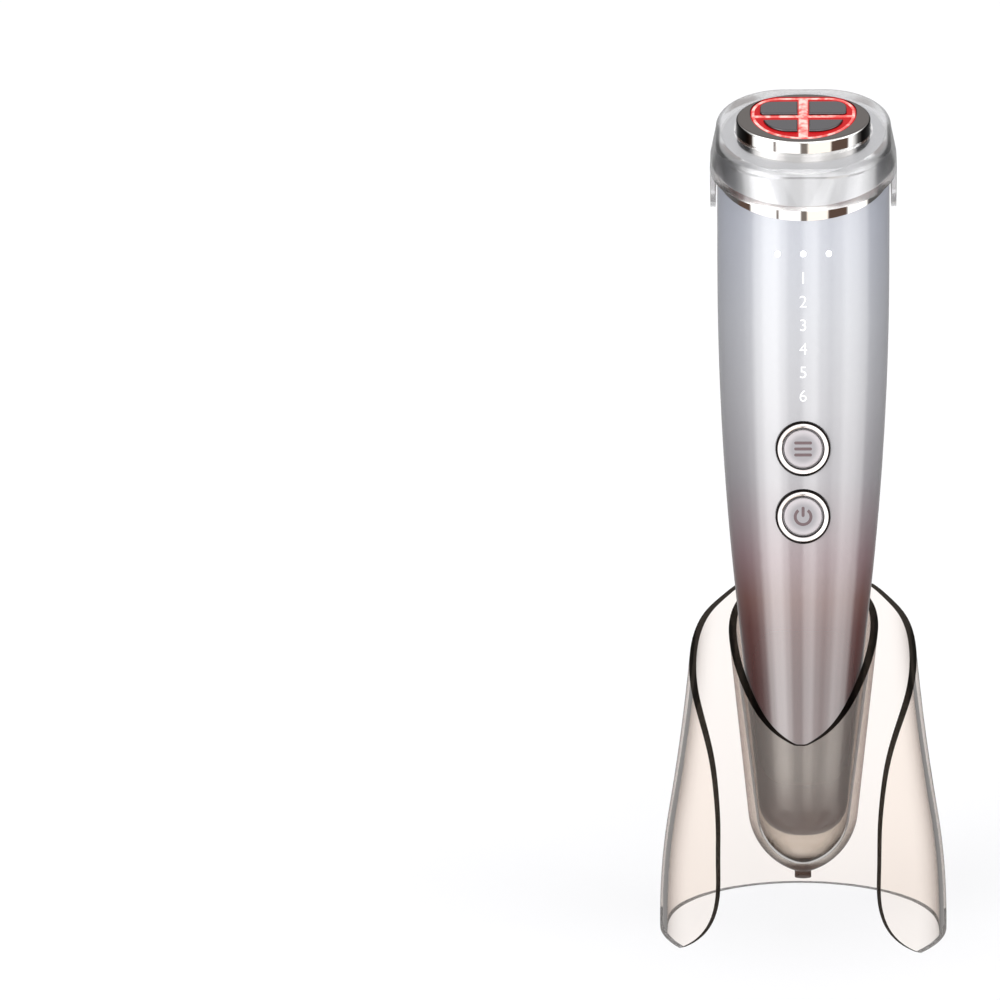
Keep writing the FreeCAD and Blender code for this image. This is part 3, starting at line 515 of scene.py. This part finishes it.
def raised_text(body):
    """A bmesh of one raised line of text, in the text's own units, from z = -0.5 to 0.5."""
    text = bpy.data.curves.new("text", "FONT")
    text.body = body
    text.extrude = 0.5
    holder = bpy.data.objects.new("text", text)
    bpy.context.scene.collection.objects.link(holder)
    bpy.context.view_layer.update()
    flat = bpy.data.meshes.new_from_object(holder.evaluated_get(bpy.context.evaluated_depsgraph_get()))
    bpy.data.objects.remove(holder)
    shape = bmesh.new()
    shape.from_mesh(flat)
    bpy.data.meshes.remove(flat)
    return shape


def numeral(row):
    shape = raised_text(str(row))
    lows = [min(vert.co[axis] for vert in shape.verts) for axis in range(2)]
    highs = [max(vert.co[axis] for vert in shape.verts) for axis in range(2)]
    scale = NUMERAL_HEIGHT / (highs[1] - lows[1])
    centre = FIRST_ROW - (row - 1) * ROW_PITCH
    for vert in shape.verts:
        across = (vert.co.x - (lows[0] + highs[0]) / 2) * scale
        height = centre + (vert.co.y - (lows[1] + highs[1]) / 2) * scale
        radius = barrel_radius_at(height) + INK_THICKNESS * vert.co.z
        vert.co = (across, -math.sqrt(radius * radius - across * across), height)
    bmesh.ops.transform(shape, matrix=handset_place, verts=shape.verts)
    add_piece(f"numeral_{row}", shape, white_ink, "handset")


for row in range(1, NUMERALS + 1):
    numeral(row)


# Swept lines

SECTION_SIDES = 12


def section(shape, half_width, half_height, place):
    """An oval outline across the start of a swept line, flat on z = 0 before its place."""
    ring = bmesh.ops.create_circle(shape, segments=SECTION_SIDES, radius=1)["verts"]
    bmesh.ops.scale(shape, vec=(half_width, half_height, 1), verts=ring)
    bmesh.ops.transform(shape, matrix=place, verts=ring)
    return ring + list({edge for vert in ring for edge in vert.link_edges})


def run(shape, front, reach):
    """Carry an outline straight on."""
    return bmesh.ops.spin(shape, geom=front, axis=(0, 0, 1), dvec=reach, angle=0, steps=1)["geom_last"]


def turn(shape, front, centre, angle, steps):
    """Carry an outline round a centre."""
    swept = bmesh.ops.spin(shape, geom=front, cent=centre, axis=(0, 0, 1), angle=angle, steps=steps)
    return swept["geom_last"]


def cap_ends(shape):
    bmesh.ops.holes_fill(shape, edges=[edge for edge in shape.edges if edge.is_boundary], sides=0)


# Button signs

SIGN_THICKNESS = 0.05 * MM
SIGN_SINK = 0.01 * MM
SIGN_LINE = 0.74 * MM
BAR_ROUNDING = 0.49
MODE_BAR = 4.4 * MM
MODE_PITCH = 1.5 * MM
POWER_RADIUS = 1.95 * MM
POWER_GAP = math.radians(36)
POWER_BAR = 2.6 * MM
POWER_BAR_MIDDLE = 1.25 * MM
POWER_STEPS = 40
mauve_ink = ink("mauve_ink", (0.155, 0.105, 0.112))


def bar(shape, width, height, y):
    """A flat bar with rounded ends, lying on z = 0."""
    made = bmesh.ops.create_cube(shape, size=1)["verts"]
    bmesh.ops.scale(shape, vec=(width, height, SIGN_THICKNESS), verts=made)
    uprights = {
        edge for vert in made for edge in vert.link_edges
        if abs(edge.verts[0].co.z - edge.verts[1].co.z) > SIGN_THICKNESS / 2
    }
    bmesh.ops.translate(shape, vec=(0, y, SIGN_THICKNESS / 2), verts=made)
    bmesh.ops.bevel(shape, geom=list(uprights), offset=BAR_ROUNDING * min(width, height),
                    affect="EDGES", segments=6, profile=0.5, material=-1)


def seat_sign(name, shape, height, button):
    lift = Matrix.Translation((0, 0, CAP_RISE - SIGN_SINK))
    bmesh.ops.transform(shape, matrix=button_place(height) @ lift, verts=shape.verts)
    add_piece(name, shape, mauve_ink, button)


def mode_sign():
    """Three short bars on the upper button."""
    shape = bmesh.new()
    for step in (-1, 0, 1):
        bar(shape, MODE_BAR, SIGN_LINE, step * MODE_PITCH)
    seat_sign("mode_sign", shape, MODE_HEIGHT, "mode_button")


def power_sign():
    """Broken ring with an upright bar on the lower button."""
    shape = bmesh.new()
    start = (Matrix.Rotation(math.pi / 2 + POWER_GAP, 4, "Z")
             @ Matrix.Translation((POWER_RADIUS, 0, SIGN_THICKNESS / 2))
             @ Matrix.Rotation(math.pi / 2, 4, "X"))
    front = section(shape, SIGN_LINE / 2, SIGN_THICKNESS / 2, start)
    turn(shape, front, (0, 0, 0), 2 * (math.pi - POWER_GAP), POWER_STEPS)
    cap_ends(shape)
    bar(shape, SIGN_LINE, POWER_BAR, POWER_BAR_MIDDLE)
    seat_sign("power_sign", shape, POWER_HEIGHT, "power_button")


mode_sign()
power_sign()


# Raised lines of the light guide, in the head's frame

GUIDE_TOP = 15.4 * MM
RAIL_SIDE = 12.55 * MM
RAIL_BACK = 9.94 * MM
RAIL_CORNER = 6.75 * MM
RAIL_MIDDLE = 2.2 * MM
RAIL_HEIGHT = 0.22 * MM
RIM_HALF = 0.36 * MM
MIDDLE_HALF = 1.15 * MM
CROSS_HALF = 0.50 * MM
CROSS_PLACE = 0.75 * MM
CROSS_REACH = 12.3 * MM
CORNER_STEPS = 14
FRONT_STEPS = 40
along_x = Matrix(((0, 0, 1, 0), (1, 0, 0, 0), (0, 1, 0, 0), (0, 0, 0, 1)))
along_y = Matrix.Rotation(math.pi / 2, 4, "X")
guide_rail = lit_rail()


def seat_rail(name, shape):
    bmesh.ops.transform(shape, matrix=head_place, verts=shape.verts)
    add_piece(name, shape, guide_rail, "handset")


def rim_rail():
    """One closed line just inside the window's edge: straight back, round corners, half-round front."""
    shape = bmesh.new()
    flat = RAIL_SIDE - RAIL_CORNER
    shoulder = RAIL_BACK - RAIL_CORNER
    front = section(shape, RIM_HALF, RAIL_HEIGHT, Matrix.Translation((flat, RAIL_BACK, GUIDE_TOP)) @ along_x)
    front = run(shape, front, (-2 * flat, 0, 0))
    front = turn(shape, front, (-flat, shoulder, GUIDE_TOP), math.pi / 2, CORNER_STEPS)
    front = run(shape, front, (0, RAIL_MIDDLE - shoulder, 0))
    front = turn(shape, front, (0, RAIL_MIDDLE, GUIDE_TOP), math.pi, FRONT_STEPS)
    front = run(shape, front, (0, shoulder - RAIL_MIDDLE, 0))
    turn(shape, front, (flat, shoulder, GUIDE_TOP), math.pi / 2, CORNER_STEPS)
    seat_rail("guide_rim_rail", shape)


def straight_rail(name, half_width, start, reach, along):
    """A straight line with closed ends."""
    shape = bmesh.new()
    front = section(shape, half_width, RAIL_HEIGHT, Matrix.Translation(start) @ along)
    run(shape, front, reach)
    cap_ends(shape)
    seat_rail(name, shape)


rim_rail()
# from back to front between the electrodes, then to each side along the rear electrodes' front edge
straight_rail("guide_middle_rail", MIDDLE_HALF, (0, RAIL_BACK, GUIDE_TOP),
              (0, RAIL_MIDDLE - RAIL_SIDE - RAIL_BACK, 0), along_y)
for name, side in (("guide_left_rail", -1), ("guide_right_rail", 1)):
    straight_rail(name, CROSS_HALF, (0, CROSS_PLACE, GUIDE_TOP), (side * CROSS_REACH, 0, 0), along_x)


# Studio

FLOOR_HALF = 12
CARD_SOFTNESS = 1.6
SKY = (1.15, 1.15, 1.17)
PANELS = (
    (-180, 0.42), (-162, 0.32), (-140, 0.14), (-112, 0.10), (-92, 0.22), (-77, 0.60), (-64, 1.85),
    (-50, 2.75), (-38, 2.85), (-27, 2.1), (-17, 1.3), (-5, 1.25), (5, 2.05), (15, 2.25), (26, 1.5),
    (38, 1.2), (49, 1.5), (62, 2.05), (75, 1.8), (89, 1.3), (104, 0.25), (120, 0.10), (145, 0.14),
    (165, 0.32), (180, 0.42),
)
BROWN, DUSK, CREAM = (0.115, 0.074, 0.058), (0.22, 0.19, 0.17), (1.25, 1.17, 1.06)
BRIGHT, BACK = 1.3, 0.8
CARDS = (
    (-146, BROWN), (-94, BRIGHT), (-52, BROWN), (-48, BRIGHT), (-5, DUSK), (8, CREAM), (48.5, BROWN),
    (81, BRIGHT), (113, BROWN), (150, BACK),
)
EYE_PLACE = (0.6 * MM, -1048.59 * MM, 346.8 * MM)
EYE_YAW, EYE_PITCH, EYE_ROLL = math.radians(-4.212), math.radians(12.682), math.radians(-0.901)


def studio_floor():
    """Wide pale floor."""
    shape = bmesh.new()
    bmesh.ops.create_grid(shape, x_segments=1, y_segments=1, size=FLOOR_HALF)
    mesh = bpy.data.meshes.new("floor")
    shape.to_mesh(mesh)
    shape.free()
    look = Finish("floor", Roughness=0.9, Specular_IOR_Level=0.1)
    cloud = look.noise(look.place(), 2.5)
    look.give(look.mix(cloud, (0.965, 0.965, 0.965), (0.98, 0.98, 0.98)), "Base Color")
    mesh.materials.append(look.material)
    floor = bpy.data.objects.new("floor", mesh)
    bpy.context.scene.collection.objects.link(floor)
    floor.visible_glossy = False


def studio_light():
    """Light from all round, as a world: soft panels at the horizon, cards below and an even sky.

    Panels and cards are set by degrees from the front, more to the object's right.
    """
    world = bpy.data.worlds.new("studio")
    world.use_nodes = True
    bpy.context.scene.world = world
    graph = Graph(world.node_tree)
    x, y, z = graph.split(graph.add("ShaderNodeTexCoord").outputs["Generated"])
    azimuth = graph.math("ARCTAN2", x, graph.math("MULTIPLY", y, -1))
    turns = graph.math("ADD", graph.math("MULTIPLY", azimuth, 1 / (2 * math.pi)), 0.5)

    def band(stops, interpolation):
        return graph.ramp(turns, [(0.5 + degrees / 360, shade) for degrees, shade in stops], interpolation)

    soft = [(-180, BACK)]
    for degrees, shade in CARDS:
        soft += [(degrees - CARD_SOFTNESS, soft[-1][1]), (degrees + CARD_SOFTNESS, shade)]
    lower = graph.mix(graph.span(z, -0.42, -0.36), band(soft, "LINEAR"), band(PANELS, "EASE"))
    light = graph.mix(graph.span(z, 0.45, 0.75), lower, SKY)
    graph.link(light, world.node_tree.nodes["Background"].inputs["Color"])


def camera():
    """The photograph's view: from a little above, turned so that the object stands right of the middle."""
    lens = bpy.data.cameras.new("camera")
    lens.sensor_width = 36
    lens.lens = 153.1
    lens.clip_end = 60
    eye = bpy.data.objects.new("camera", lens)
    bpy.context.scene.collection.objects.link(eye)
    aim = (Matrix.Rotation(-EYE_YAW, 4, "Z") @ Matrix.Rotation(math.pi / 2 - EYE_PITCH, 4, "X")
           @ Matrix.Rotation(EYE_ROLL, 4, "Z"))
    eye.matrix_world = Matrix.Translation(EYE_PLACE) @ aim
    bpy.context.scene.camera = eye


studio_floor()
studio_light()
camera()
bpy.context.scene.view_settings.view_transform = "Standard"
